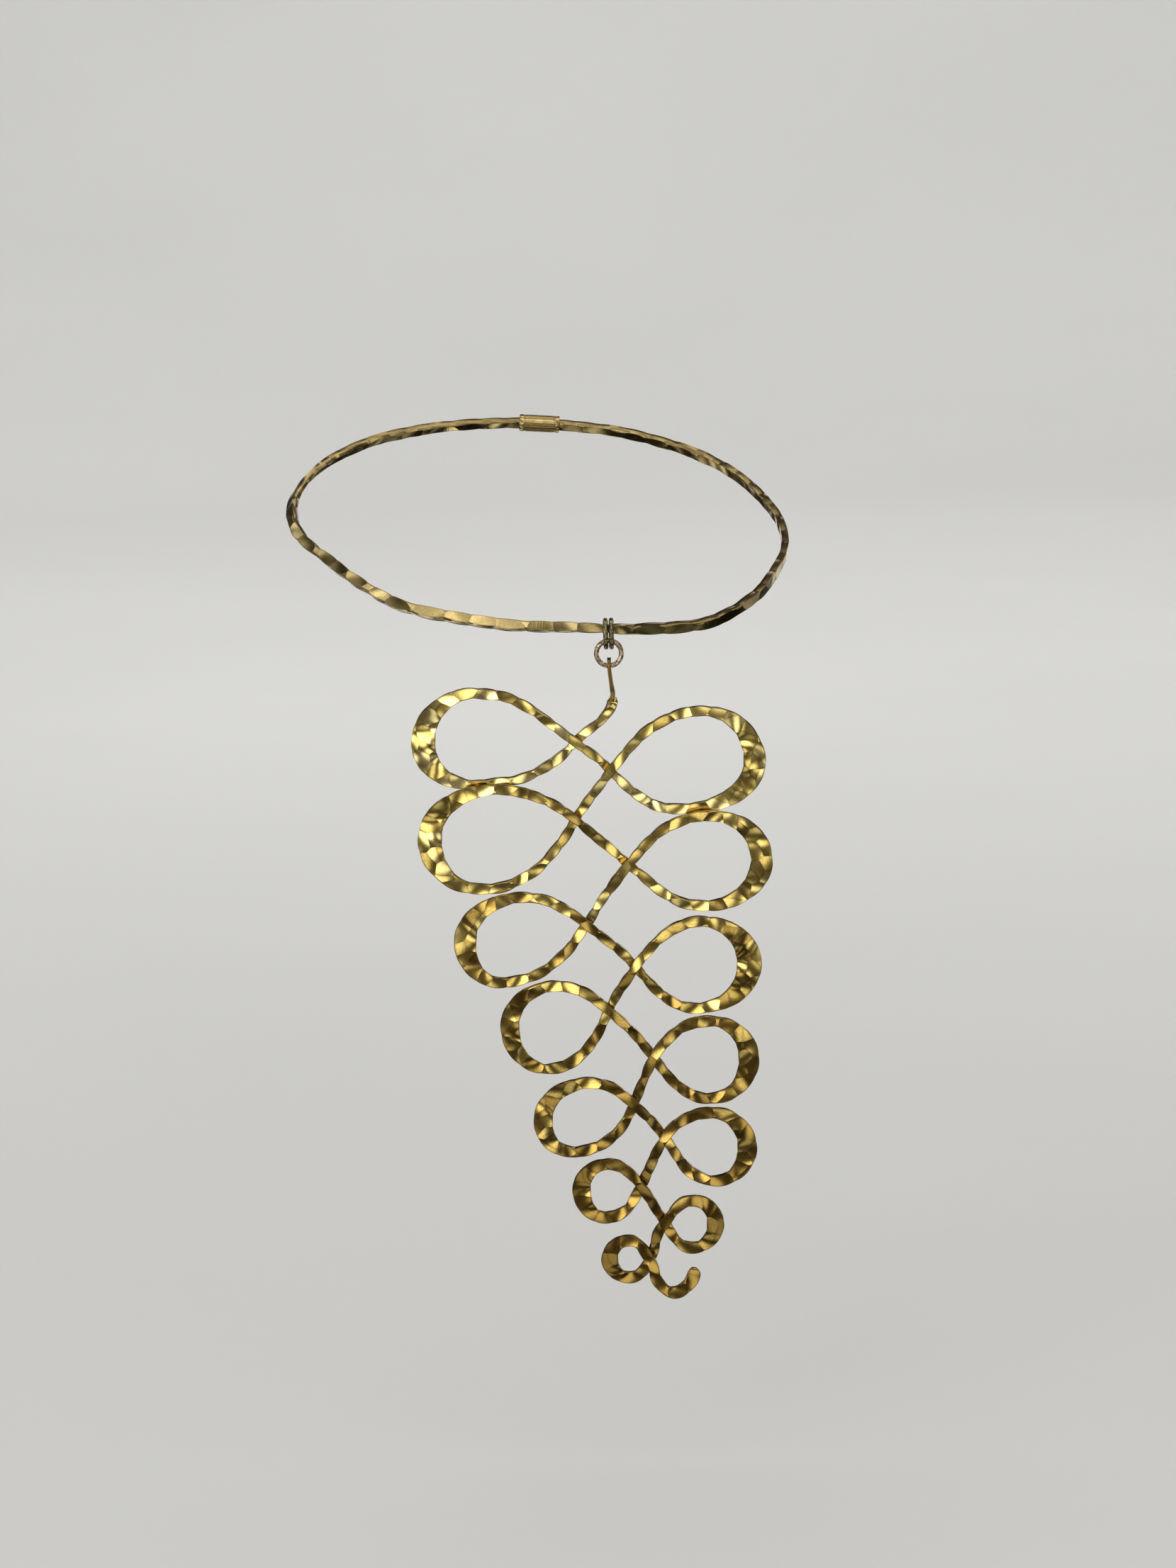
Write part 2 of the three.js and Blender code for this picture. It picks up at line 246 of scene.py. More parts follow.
def pendant_path():
    """The pendant's wire from the tab to the tip, relative to the hanging point."""
    rows, headings = zip(*pendant_knots())
    rows = np.array(rows, float)
    points = rows[:, :3] * [1, 1, -1]
    directions = [knot_direction(points, headings, i) for i in range(len(points))]
    parts = []
    for i in range(len(points) - 1):
        start, stop = points[i], points[i + 1]
        reach = HANDLE * np.linalg.norm(stop - start)
        samples = max(LEAST_SAMPLES, int(np.linalg.norm(stop - start) / PATH_STEP))
        handles = start + directions[i] * reach, stop - directions[i + 1] * reach
        line, along = bezier(start, *handles, stop, samples)
        share = np.linspace(0, 1, samples)[:, None]
        ease = share * share * (3 - 2 * share)
        section = rows[i, 3:] + (rows[i + 1, 3:] - rows[i, 3:]) * ease
        parts.append(np.hstack([line, along, section])[1 if i else 0 :])
    parts = np.vstack(parts)
    along, turn = parts[:, 3:6], np.radians(parts[:, 6:7])
    level = unit(np.cross([0, -1, 0], along))
    facing = np.cross(along, level) * np.cos(turn) + level * np.sin(turn)
    return Path(parts[:, :3], along, facing, parts[:, 7], parts[:, 8])


def neck_turn():
    """The rotation that lays the ring's plane in the frame: lean about Y, then tilt about X."""
    tilt, lean = math.radians(NECK_TILT_DEG), math.radians(NECK_LEAN_DEG)
    about_x = np.array(
        [[1, 0, 0], [0, math.cos(tilt), -math.sin(tilt)], [0, math.sin(tilt), math.cos(tilt)]]
    )
    about_y = np.array(
        [[math.cos(lean), 0, math.sin(lean)], [0, 1, 0], [-math.sin(lean), 0, math.cos(lean)]]
    )
    return about_x @ about_y


def neck_line():
    """The closed curve through the outline's points, from the nape round to the nape again."""
    at, radius = np.array(NECK_OUTLINE, float).T
    knots = np.stack([radius * np.cos(np.radians(at)), radius * np.sin(np.radians(at))], axis=1)
    count = len(knots)
    weight = np.linspace(0, 1, OUTLINE_SAMPLES, endpoint=False)[:, None]
    line = []
    for i in range(count):
        p0, p1, p2, p3 = (knots[(i + k) % count] for k in (-1, 0, 1, 2))
        d0, d1, d2 = (math.sqrt(math.dist(a, b)) for a, b in ((p0, p1), (p1, p2), (p2, p3)))
        m1 = ((p1 - p0) / d0 - (p2 - p0) / (d0 + d1) + (p2 - p1) / d1) * d1
        m2 = ((p2 - p1) / d1 - (p3 - p1) / (d1 + d2) + (p3 - p2) / d2) * d1
        c2 = -3 * p1 + 3 * p2 - 2 * m1 - m2
        c3 = 2 * p1 - 2 * p2 + m1 + m2
        line.append(p1 + m1 * weight + c2 * weight**2 + c3 * weight**3)
    line = np.vstack(line + [knots[:1]])
    return np.column_stack([line, np.zeros(len(line))])


def neck_path():
    """The neck wire, in the frame."""
    line = neck_line()
    at = np.concatenate([[0], np.cumsum(np.linalg.norm(np.diff(line, axis=0), axis=1))])
    even = np.linspace(NECK_END_GAP, at[-1] - NECK_END_GAP, NECK_SAMPLES)
    points = np.stack([np.interp(even, at, line[:, i]) for i in range(3)], axis=1)
    along = unit(np.gradient(points, axis=0))
    direction = np.degrees(np.unwrap(np.arctan2(points[:, 1], points[:, 0])))
    direction += NECK_OUTLINE[0][0] - direction[0] + (even[0] / at[-1]) * 360
    table = np.array(NECK_HAMMERING, float).T
    turn, width, thickness = (np.interp(direction, table[0], column) for column in table[1:])
    outward = np.cross(along, [0, 0, 1])
    turn = np.radians(turn)[:, None]
    facing = outward * np.cos(turn) + np.array([0, 0, 1]) * np.sin(turn)
    spin = neck_turn()
    return Path(points @ spin.T, along @ spin.T, facing @ spin.T, width, thickness)


# ---- Hammering ----

def mirrored(shares):
    return np.array([*shares, *(-share for share in shares[-2::-1])])


# How far across a wire each column of its mesh lies, as a share of the half width. The back face
# shares the struck face's two outermost columns.
FACE_COLUMNS = mirrored((-1, -0.97, -0.91, -0.83, -0.73, -0.6, -0.46, -0.31, -0.15, 0))
BACK_COLUMNS = mirrored((-1, -0.96, -0.88, -0.76, -0.6, -0.4, -0.2, 0))

# The number that stands for the unstruck edge where a blow's number is meant.
RIM = -1
THINNEST_HALF = 0.14
LEAST_SPREAD = 1e-9

# Blows on a narrow wire follow one another in one row. On a wide end they lie two or three abreast.
SPACING_SPREAD = (0.78, 1.22)
DEPTH_SPREAD = (0.6, 1.5)
THREE_ROWS_CHANCE = 0.55
END_STEPS = {2: 4.4, 3: 3.8}
END_STEP_SPREAD = (0.85, 1.15)
END_DEPTH_SPREAD = (0.6, 1.4)
END_STAGGER = 0.8
SCATTER_ACROSS = 0.35
SCATTER_ALONG = 0.5
LAST_BLOW = 0.5

# A deep blow spreads the wire. How deep it is, is read part of the way out to each edge.
SPREAD_STEP = 0.2
SPREAD_PROBE = 0.3
SPREAD_LEVELS = (-0.2, 0.12)
SPREAD_FADE = 3

# The section before hammering: squarer where the wire is wide for its thickness.
SECTION_POWER = 8
FLAT_SECTION_POWER = 13
ROUND_SHARE, FLAT_SHARE = 1.3, 8.3

# How far from a line between two blows its painted shade reaches, as the gap between the two
# dishes.
CREASE_GAP = 0.018
# How far in from each edge the rim darkens, and over how much it fades: dirt and tarnish on the
# unstruck sides, and painted shade.
EDGE_DIRT_AND_SHADE, EDGE_DIRT_AND_SHADE_FADE = 0.36, 0.14
TAB_CLEAR, TAB_FADE = 1, 4
DARKER_STRETCH_FADES = (2, 8)
TEXTURE_SCALE = 0.1
CAP_TONE = 0.5

# How long the twists and bends are for their style's lengths, how they fade out towards a wire's
# ends, and the share of them that is left where the wire is narrow.
WANDER_SPREAD = (0.9, 1.1)
WANDER_FADE = 8
NARROW_WIRE, WIDE_WIRE = 2.6, 5.0
NARROW_TWIST, NARROW_BEND = 0.6, 0.3


class Hammered:
    """One struck face of a wire: shallow dishes cut into a rounded outline, the lowest showing."""

    def __init__(self, path, rng, style, skip=0.0):
        self.path, self.style = path, style
        rows = []
        where = skip + style["spacing"] * 0.5
        tilt_across = 0.0
        while where < path.length - LAST_BLOW:
            width = float(path.width(where))
            if width < style["two_rows"]:
                step = style["spacing"] * rng.uniform(*SPACING_SPREAD)
                lean = rng.uniform(-1, 1) * style["tilt_across"]
                change = style["most_change"]
                tilt_across = min(max(lean, tilt_across - change), tilt_across + change)
                tilt_along = rng.uniform(-1, 1) * style["tilt_along"]
                depth = style["depth"] * rng.uniform(*DEPTH_SPREAD)
                rows.append((where, 0, tilt_along, tilt_across, style["dish"], -depth))
            else:
                wide = width > style["three_rows"] and rng.random() < THREE_ROWS_CHANCE
                count = 3 if wide else 2
                step = END_STEPS[count] * rng.uniform(*END_STEP_SPREAD)
                shift = rng.uniform(-0.5, 0.5)
                for row in range(count):
                    u = ((row + 0.5) / count - 0.5) * width
                    u += rng.uniform(-SCATTER_ACROSS, SCATTER_ACROSS)
                    s = where + step * (shift if row % 2 else -shift) * END_STAGGER
                    s += rng.uniform(-SCATTER_ALONG, SCATTER_ALONG)
                    tilts = rng.uniform(-1, 1, 2) * style["end_tilts"]
                    depth = style["end_depth"] * rng.uniform(*END_DEPTH_SPREAD)
                    rows.append((s, u, *tilts, style["end_dish"], -depth))
            where += step
        self.rows = np.array(sorted(rows))
        self.tones = np.append(rng.random(len(rows)), CAP_TONE)

        at = np.linspace(0, path.length, int(path.length / SPREAD_STEP))
        self.at, self.halves = at, []
        for side in (-1, 1):
            level, _, _ = self.lowest(at, side * SPREAD_PROBE * path.width(at))
            swell = style["bulge"] * (style["waist"] - np.clip(level, *SPREAD_LEVELS))
            swell = swell * np.clip((at - skip) / SPREAD_FADE, 0, 1)
            self.halves.append(path.width(at) / 2 + swell)

    def across(self, s, share):
        low, high = (np.interp(s, self.at, half) for half in self.halves)
        return share * np.where(share < 0, low, high)

    def dish(self, index, s, u):
        at, across, a, b, c, h = np.moveaxis(self.rows[index], -1, 0)
        ds, du = s - at, u - across
        return h + a * ds + b * du + c * (ds**2 + du**2)

    def lowest(self, s, u, reach=10):
        """Height of the struck face over the wire's own half thickness, which blow made it, and
        how far above it the next lowest blow lies."""
        middle = np.searchsorted(self.rows[:, 0], s)
        best, second = np.full(s.shape, np.inf), np.full(s.shape, np.inf)
        owner = np.full(s.shape, RIM)
        for offset in range(-reach, reach):
            index = np.clip(middle + offset, 0, len(self.rows) - 1)
            height = self.dish(index, s, u)
            lower = height < best
            other = np.where(index == owner, second, np.minimum(second, height))
            second = np.where(lower, best, other)
            owner = np.where(lower, index, owner)
            best = np.minimum(height, best)
        return best, owner, second - best

    def outline(self, s, share):
        """The rounded edge that the hammering cuts into: rounder on a narrow wire."""
        width, thickness = self.path.width(s), self.path.thickness(s)
        flat = np.clip((width / thickness - ROUND_SHARE) / (FLAT_SHARE - ROUND_SHARE), 0, 1)
        power = SECTION_POWER + (FLAT_SECTION_POWER - SECTION_POWER) * flat
        full = thickness / 2 + self.style["proud"]
        return full * (1 - np.minimum(np.abs(share), 1) ** power) ** (1 / power)

    def height(self, owner, s, share):
        struck = self.path.thickness(s) / 2 + self.dish(owner, s, self.across(s, share))
        return np.where(owner == RIM, self.outline(s, share), struck)

    def surface(self, s, share):
        """Half thickness of the hammered wire, and the blow that made it, or RIM."""
        level, owner, _ = self.lowest(s, self.across(s, share))
        struck, edge = self.path.thickness(s) / 2 + level, self.outline(s, share)
        owner = np.where(edge < struck, RIM, owner)
        return np.minimum(edge, np.maximum(struck, THINNEST_HALF)), owner

    def crease(self, s, share):
        """1 on a line where two blows meet, 0 a little way off it."""
        _, _, gap = self.lowest(s, self.across(s, share))
        _, owner = self.surface(s, share)
        return np.where(owner == RIM, 0, np.clip(1 - gap / CREASE_GAP, 0, 1))

    def snap(self, s, share):
        """Moves each place of a grid onto a nearby line where two blows meet, to make it sharp."""
        _, owner = self.surface(s, share)
        moved = [s.copy(), share.copy()]
        nearest = np.full(s.shape, 0.5)
        for axis in (0, 1):
            here, there = [slice(None)] * 2, [slice(None)] * 2
            here[axis], there[axis] = slice(None, -1), slice(1, None)
            here, there = tuple(here), tuple(there)
            first, second = owner[here], owner[there]
            gaps = [
                self.height(first, s[end], share[end]) - self.height(second, s[end], share[end])
                for end in (here, there)
            ]
            spread = gaps[0] - gaps[1]
            meets = (first != second) & (np.abs(spread) > LEAST_SPREAD)
            part = np.clip(gaps[0] / np.where(meets, spread, 1), 0, 1)
            for end, gone in ((here, part), (there, 1 - part)):
                wanted = meets & (gone < nearest[end])
                if axis == 1:
                    wanted &= np.abs(share[end]) < 1
                for grid, kept in zip(moved, (s, share)):
                    target = kept[here] + (kept[there] - kept[here]) * part
                    grid[end][wanted] = target[wanted]
                nearest[end][wanted] = gone[wanted]
        moved[0][[0, -1]] = s[[0, -1]]
        return moved


class Wander:
    """The slow twist and bend that hammering leaves in a wire, most where the wire is wide."""

    def __init__(self, path, rng, style, skip):
        self.path, self.skip = path, skip
        self.twists, self.bends = (
            [(size * rng.uniform(*WANDER_SPREAD), rng.uniform(0, 2 * math.pi)) for size in lengths]
            for lengths in (style["twist_lengths"], style["bend_lengths"])
        )
        self.twist_slope, self.bend_slope = style["twist"], style["bend"]

    def read(self, s):
        """The twist in radians and the bend in millimetres."""
        fade = np.clip((s - self.skip) / WANDER_FADE, 0, 1)
        fade = fade * np.clip((self.path.length - s) / WANDER_FADE, 0, 1)
        wide = np.clip((self.path.width(s) - NARROW_WIRE) / (WIDE_WIRE - NARROW_WIRE), 0, 1)
        twist = sum(np.sin(2 * math.pi * s / length + phase) for length, phase in self.twists)
        turns = [(length, 2 * math.pi * s / length + phase) for length, phase in self.bends]
        bend = sum(length / 2 / math.pi * np.sin(turn) for length, turn in turns)
        twist = twist * self.twist_slope * (NARROW_TWIST + (1 - NARROW_TWIST) * wide)
        bend = bend * self.bend_slope * (NARROW_BEND + (1 - NARROW_BEND) * wide)
        return twist * fade, bend * fade

    def lay(self, s, u, z):
        twist, bend = self.read(s)
        return u * np.cos(twist) - z * np.sin(twist), z * np.cos(twist) + u * np.sin(twist) + bend


def strip_faces(grid, face, s, share, z):
    """Triangles over a grid, each square split along the diagonal that fits the face better."""
    near, far = slice(None, -1), slice(1, None)
    corners = [(near, near), (far, near), (far, far), (near, far)]
    misses = []
    for one, other in ((0, 2), (1, 3)):
        ends = corners[one], corners[other]
        centre = [(values[ends[0]] + values[ends[1]]) / 2 for values in (s, share, z)]
        misses.append(np.abs(face.surface(centre[0], centre[1])[0] - centre[2]))
    a, b, c, d = (grid[corner] for corner in corners)
    swap = misses[1] < misses[0]
    first = np.where(swap[..., None], np.stack([b, c, d], -1), np.stack([a, b, c], -1))
    second = np.where(swap[..., None], np.stack([b, d, a], -1), np.stack([a, c, d], -1))
    return np.concatenate([first.reshape(-1, 3), second.reshape(-1, 3)])


def hammered_wire(name, path, style, seed, offset=(0, 0, 0), skip=0.0, darker_stretch=None):
    """A closed mesh of a hammered wire, hammered on both faces.

    Its attributes are a tone for each blow, the place along and across the wire, and where its
    edges, its tab, its darker stretch and the lines between blows lie. A darker stretch is given by
    its two ends from left to right. Without one, the wire darkens evenly towards its tip, as
    painted shade.
    """
    rng = np.random.default_rng(seed)
    struck, back = (Hammered(path, rng, style, skip) for _ in range(2))
    back.halves = struck.halves
    wander = Wander(path, rng, style, skip)
    count = int(path.length / style["row_step"])
    rows = np.linspace(0, path.length, count)

    grid = np.arange(count * len(FACE_COLUMNS)).reshape(count, -1)
    inner = grid.size + np.arange(count * (len(BACK_COLUMNS) - 2)).reshape(count, -1)
    behind = np.column_stack([grid[:, 0], inner, grid[:, -1]])
    points, places, triangles, tones = [], [], [], []
    sides = (struck, FACE_COLUMNS, grid, 1), (back, BACK_COLUMNS, behind, -1)
    for face, columns, ids, sign in sides:
        s, share = face.snap(*np.meshgrid(rows, columns, indexing="ij"))
        if sign > 0:
            rims = s[:, [0, -1]]
        s[:, [0, -1]] = rims
        z, _ = face.surface(s, share)
        facets = strip_faces(np.arange(s.size).reshape(s.shape), face, s, share, z)
        _, owner = face.surface(s.ravel()[facets].mean(axis=1), share.ravel()[facets].mean(axis=1))
        tones.append(face.tones[owner])
        triangles.append(ids.ravel()[facets][:, ::sign])
        u = face.across(s, share)
        keep = slice(None) if sign > 0 else slice(1, -1)
        points.append(path.points(s, *wander.lay(s, u, sign * z))[:, keep].reshape(-1, 3))
        inside = np.abs(face.across(s, np.where(share < 0, -1, 1)) - u)
        place = np.stack([s, u, inside, face.crease(s, share)], axis=-1)
        places.append(place[:, keep].reshape(-1, 4))

    points = (np.vstack(points) + np.array(offset)) * MM
    s, u, inside, crease = np.vstack(places).T
    # foot darkens the colour: painted shade deepening evenly towards the tip, or, with a darker
    # stretch given, only that stretch.
    foot = s / path.length
    if darker_stretch:
        x, y, _ = points.T / MM
        foot = np.clip((x - darker_stretch[0]) / DARKER_STRETCH_FADES[0], 0, 1) * (y < 0)
        foot = foot * np.clip((darker_stretch[1] - x) / DARKER_STRETCH_FADES[1], 0, 1)
    caps = [np.concatenate([grid[end], inner[end, ::-1]]) for end in (0, -1)]
    caps = [caps[0].tolist(), caps[1][::-1].tolist()]
    piece = new_piece(name, points.tolist(), np.vstack(triangles).tolist() + caps)
    for label, domain, values in (
        ("tone", "FACE", np.concatenate([*tones, [CAP_TONE, CAP_TONE]])),
        # The rims darken with dirt and with painted shade.
        ("side", "POINT", np.clip((EDGE_DIRT_AND_SHADE - inside) / EDGE_DIRT_AND_SHADE_FADE, 0, 1)),
        ("tab", "POINT", np.clip((skip - TAB_CLEAR - s) / TAB_FADE, 0, 1)),
        ("foot", "POINT", foot),
        # Lines between blows, which get painted shade.
        ("crease", "POINT", crease),
    ):
        attribute = piece.data.attributes.new(label, "FLOAT", domain)
        attribute.data.foreach_set("value", values.astype(np.float32))
    lie = np.stack([s, u, np.zeros_like(s)], axis=-1) * TEXTURE_SCALE
    attribute = piece.data.attributes.new("lie", "FLOAT_VECTOR", "POINT")
    attribute.data.foreach_set("vector", lie.astype(np.float32).ravel())
    return piece


def smooth(piece, sharp_deg):
    """Shades smoothly, but for steep creases and the ridges between blows."""
    mesh = piece.data
    mesh.polygons.foreach_set("use_smooth", [True] * len(mesh.polygons))
    mesh.set_sharp_from_angle(angle=math.radians(sharp_deg))
    tone = mesh.attributes.get("tone")
    if tone is None:
        return
    tones = np.zeros(len(mesh.polygons), np.float32)
    tone.data.foreach_get("value", tones)
    sizes, edges = np.zeros(len(mesh.polygons), int), np.zeros(len(mesh.loops), int)
    mesh.polygons.foreach_get("loop_total", sizes)
    mesh.loops.foreach_get("edge_index", edges)
    per_corner = np.repeat(tones, sizes)
    low, high = np.full(len(mesh.edges), np.inf), np.full(len(mesh.edges), -np.inf)
    np.minimum.at(low, edges, per_corner)
    np.maximum.at(high, edges, per_corner)
    sharp = np.zeros(len(mesh.edges), bool)
    mesh.edges.foreach_get("use_edge_sharp", sharp)
    mesh.edges.foreach_set("use_edge_sharp", sharp | (high > low))


# ---- Materials ----


class Nodes:
    """A short way to write nodes. A value is written as its node and the name of its socket."""

    def __init__(self, tree):
        self.tree = tree
        self.tree.nodes.clear()

    def add(self, kind, **values):
        node = self.tree.nodes.new(kind)
        for key, value in values.items():
            if key in node.inputs:
                node.inputs[key].default_value = value
            else:
                setattr(node, key, value)
        return node

    def link(self, source, output, target, socket):
        self.tree.links.new(source.outputs[output], target.inputs[socket])

    def noise(self, coordinates, scale, detail, roughness, stretch=(1, 1, 1), place="Object"):
        mapping = self.add("ShaderNodeMapping")
        mapping.inputs["Scale"].default_value = stretch
        self.link(coordinates, place, mapping, "Vector")
        node = self.add("ShaderNodeTexNoise", Scale=scale, Detail=detail, Roughness=roughness)
        self.link(mapping, "Vector", node, "Vector")
        return node

    def math(self, operation, *sources):
        node = self.add("ShaderNodeMath", operation=operation)
        for socket, source in enumerate(sources):
            if isinstance(source, tuple):
                self.link(*source, node, socket)
            else:
                node.inputs[socket].default_value = source
        return node, "Value"

    def weighted(self, *terms):
        """The sum of several nodes' factors, each times its weight."""
        total = 0
        for node, weight in terms:
            total = self.math("MULTIPLY_ADD", (node, "Fac"), weight, total)
        return total

    def ramp(self, source, stops):
        node = self.add("ShaderNodeValToRGB")
        elements = node.color_ramp.elements
        while len(elements) < len(stops):
            elements.new(0.5)
        for element, (position, colour) in zip(elements, stops):
            element.position = position
            element.color = (*colour, 1)
        self.link(*source, node, "Fac")
        return node, "Color"

    def map_range(self, source, low, high, to_low, to_high, blend="LINEAR"):
        node = self.add("ShaderNodeMapRange", interpolation_type=blend)
        for socket, value in (
            ("From Min", low), ("From Max", high), ("To Min", to_low), ("To Max", to_high)
        ):
            node.inputs[socket].default_value = value
        self.link(*source, node, "Value")
        return node, "Result"

    def cap(self, where, centre, radius, soft, brightness):
        """A soft-edged round patch on the sphere of directions, its sizes in degrees."""
        dot = self.add("ShaderNodeVectorMath", operation="DOT_PRODUCT")
        self.link(*where, dot, 0)
        dot.inputs[1].default_value = direction(*centre)
        low, high = (math.cos(math.radians(angle)) for angle in (radius + soft, radius))
        return self.map_range((dot, "Value"), low, high, 0, brightness, "SMOOTHSTEP")


def direction(azimuth, elevation):
    az, el = math.radians(azimuth), math.radians(elevation)
    return math.sin(az) * math.cos(el), -math.cos(az) * math.cos(el), math.sin(el)


def shader_nodes(name):
    """A new material's nodes, with its principled shader."""
    material = bpy.data.materials.new(name)
    material.use_nodes = True
    n = Nodes(material.node_tree)
    n.material = material
    n.shader = n.add("ShaderNodeBsdfPrincipled")
    n.link(n.shader, "BSDF", n.add("ShaderNodeOutputMaterial"), "Surface")
    return n


# How much each blow's tone, the clouds and the specks change the tarnish, and their middle, which
# leaves the tarnish as it is.
TONE_WEIGHT = 0.62
CLOUD_WEIGHT = 0.55
SPECK_WEIGHT = 0.16
WEIGHTS_MIDDLE = 0.65
STREAK_RANGE = (0.35, 0.65, -0.14, 0.14)
WEAR_RANGE = (0.35, 0.6, 0.5, 0.95)
TAB_DARK = 0.95
# How dark the painted shade on the lines between blows is.
CREASE_SHADE = 0.4
EDGE_DULLING = 0.3
PIT_RELIEF = 0.08
WAVE_RELIEF = 0.5

# Where most of a noise lies, between its two ends at 0 and 1.
NOISE_RANGE = (0.3, 0.7)


def hammered_brass(name, pale, gold, dark, edge, foot_dark, tarnish, rough, marks):
    """Struck brass: a tone for each blow, mottled tarnish, fine marks, dirt and painted shade on
    the edges, painted shade between blows, and the foot attribute's darkening.
    """
    n = shader_nodes(name)
    where = n.add("ShaderNodeTexCoord")
    tone = n.add("ShaderNodeAttribute", attribute_name="tone")
    lie = n.add("ShaderNodeAttribute", attribute_name="lie")
    foot = n.add("ShaderNodeAttribute", attribute_name="foot")

    cloud = n.noise(where, 90, detail=5, roughness=0.6)
    speck = n.noise(where, 700, detail=3, roughness=0.6)
    brushed = n.noise(lie, 9, detail=5, roughness=0.7, stretch=(1, 5, 1), place="Vector")
    # The foot attribute's darkening joins the mix: painted shade towards the pendant's tip, or the
    # neck's darker stretch.
    mix = n.weighted(
        (tone, TONE_WEIGHT), (cloud, CLOUD_WEIGHT), (speck, SPECK_WEIGHT), (foot, foot_dark)
    )
    mix = n.math("ADD", mix, n.map_range((brushed, "Fac"), *STREAK_RANGE))
    mix = n.math("ADD", mix, tarnish - WEIGHTS_MIDDLE)
    colour = n.ramp(mix, [(0.0, pale), (0.45, gold), (1.0, dark)])
    side = n.add("ShaderNodeAttribute", attribute_name="side")
    tab = n.add("ShaderNodeAttribute", attribute_name="tab")
    crease = n.add("ShaderNodeAttribute", attribute_name="crease")
    # Darkening by dirt and painted shade on the rims, a darker tab, and painted shade on the lines
    # between blows.
    dirt_and_shade = n.math("MULTIPLY", (side, "Fac"), n.map_range((cloud, "Fac"), *WEAR_RANGE))
    dirt_and_shade = n.math("MAXIMUM", dirt_and_shade, n.math("MULTIPLY", (tab, "Fac"), TAB_DARK))
    dirt_and_shade = n.math("MAXIMUM", dirt_and_shade, n.math("MULTIPLY", (crease, "Fac"), CREASE_SHADE))
    edged = n.add("ShaderNodeMix", data_type="RGBA")
    mix_a, mix_b, mix_result = 6, 7, 2
    n.link(*dirt_and_shade, edged, "Factor")
    n.link(*colour, edged, mix_a)
    edged.inputs[mix_b].default_value = (*edge, 1)
    n.link(edged, mix_result, n.shader, "Base Color")

    dulling = n.weighted((cloud, 0.5), (brushed, 0.5), (side, EDGE_DULLING))
    n.link(*n.map_range(dulling, *NOISE_RANGE, *rough), n.shader, "Roughness")

    along, across, deep = marks
    stretch = (along, across, 1)
    scratch = n.noise(lie, 16, detail=2, roughness=0.5, stretch=stretch, place="Vector")
    pits = n.noise(where, 1500, detail=2, roughness=0.5)
    waves = n.noise(where, 420, detail=2, roughness=0.5)
    relief = n.weighted((scratch, deep), (pits, PIT_RELIEF), (waves, WAVE_RELIEF))
    bump = n.add("ShaderNodeBump", Strength=0.35, Distance=0.00004)
    n.link(*relief, bump, "Height")
    n.link(bump, "Normal", n.shader, "Normal")
    n.shader.inputs["Metallic"].default_value = 1.0
    return n.material


def drawn_brass(name, bright, dull, rough, dullness):
    """Round drawn wire and tube, tarnished in clouds, with fine handling marks."""
    n = shader_nodes(name)
    where = n.add("ShaderNodeTexCoord")
    cloud = n.noise(where, 260, detail=5, roughness=0.62)
    speck = n.noise(where, 1500, detail=3, roughness=0.6)
    mix = n.math("ADD", n.weighted((cloud, 1.5), (speck, 0.25)), dullness - 0.75)
    n.link(*n.ramp(mix, [(0.05, bright), (0.95, dull)]), n.shader, "Base Color")
    n.link(*n.map_range((cloud, "Fac"), *NOISE_RANGE, *rough), n.shader, "Roughness")
    bump = n.add("ShaderNodeBump", Strength=0.3, Distance=0.00002)
    n.link(speck, "Fac", bump, "Height")
    n.link(bump, "Normal", n.shader, "Normal")
    n.shader.inputs["Metallic"].default_value = 1.0
    return n.material


def pale_ground(name):
    n = shader_nodes(name)
    where = n.add("ShaderNodeTexCoord")
    cloud = n.noise(where, 1.5, detail=3, roughness=0.5)
    stops = [(0.35, (0.72, 0.72, 0.71)), (0.65, (0.75, 0.75, 0.74))]
    n.link(*n.ramp((cloud, "Fac"), stops), n.shader, "Base Color")
    n.shader.inputs["Roughness"].default_value = 0.9
    n.shader.inputs["Specular IOR Level"].default_value = 0.1
    return n.material


# ---- Pieces ----


def dress(piece, body, nodes, material):
    piece.data.materials.clear()
    piece.data.materials.append(material)
    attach(piece, body)
    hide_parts(*nodes)
    return piece


RING_STEPS, RING_SIDES = 168, 28

# The seam, and how a hand-bent ring strays from a true one. Its oval and its sway out of its plane
# are in millimetres. Its worn ends, uneven wire and plier marks are shares of the wire's radius.
SEAM_GAP = 0.05
RING_END_SHARES = (0.9, 0.98, 1)
UNEVEN_WIRE = 0.012
OVAL = 0.03
SWAY = (0.035, 0.02)
PLIER_MARK = 0.03
PLIER_MARKS, PLIER_MARK_FROM = 7, 0.6


